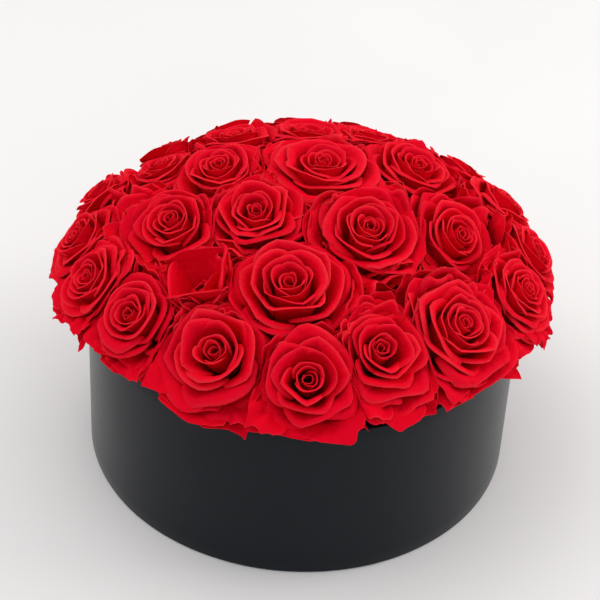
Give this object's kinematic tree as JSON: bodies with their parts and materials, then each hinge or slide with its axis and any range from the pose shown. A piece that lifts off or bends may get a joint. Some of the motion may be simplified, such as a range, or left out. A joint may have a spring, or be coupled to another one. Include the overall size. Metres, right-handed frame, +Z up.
{
  "type": "flower box",
  "caption": "Low round black paper-covered drum filled with dry foam that carries a close dome of red rose heads, overhanging the rim.",
  "frame": {"origin": "centre of the drum's underside, where it stands on the table", "axes": "+Z up along the drum's axis; -Y towards the front, where the widest rose head faces"},
  "size_m": [0.2715, 0.2663, 0.1723],
  "materials": {
    "cover_paper": "matte, fine grain",
    "lining_paper": "matte",
    "greyboard": "matte, pressed fibre",
    "dry_foam": "matte, open-celled foam",
    "bare_wood": "matte",
    "calyx_green": "matte leaf",
    "rose_petal": "velvety petal"
  },
  "bodies": {
    "box": {"base_paper": "cover_paper", "base_board": "greyboard", "floor_paper": "lining_paper", "box_wall": "greyboard", "wall_wrap": "cover_paper", "wall_liner": "lining_paper"},
    "arrangement": {"foam_block": "dry_foam", "foam_cap": "dry_foam", "foam_skewers": "bare_wood", "rose_picks": "bare_wood", "rose_calyxes": "calyx_green", "rose_crown_1": "rose_petal", "rose_crown_2": "rose_petal", "rose_crown_3": "rose_petal", "rose_shoulder_1": "rose_petal", "rose_shoulder_2": "rose_petal", "rose_shoulder_3": "rose_petal", "rose_shoulder_4": "rose_petal", "rose_shoulder_5": "rose_petal", "rose_shoulder_6": "rose_petal", "rose_shoulder_7": "rose_petal", "rose_shoulder_8": "rose_petal", "rose_shoulder_9": "rose_petal", "rose_shoulder_10": "rose_petal", "rose_rim_1": "rose_petal", "rose_rim_2": "rose_petal", "rose_rim_3": "rose_petal", "rose_rim_4": "rose_petal", "rose_rim_5": "rose_petal", "rose_rim_6": "rose_petal", "rose_rim_7": "rose_petal", "rose_rim_8": "rose_petal", "rose_rim_9": "rose_petal", "rose_rim_10": "rose_petal", "rose_rim_11": "rose_petal", "rose_rim_12": "rose_petal", "rose_rim_13": "rose_petal", "rose_rim_14": "rose_petal", "rose_rim_15": "rose_petal", "rose_rim_16": "rose_petal", "rose_rim_17": "rose_petal"}
  },
  "joints": [
    {"name": "arrangement_lift", "type": "slide", "parent": "box", "child": "arrangement", "axis": [0, 0, 1], "range_m": [0, 0.12]}
  ]
}
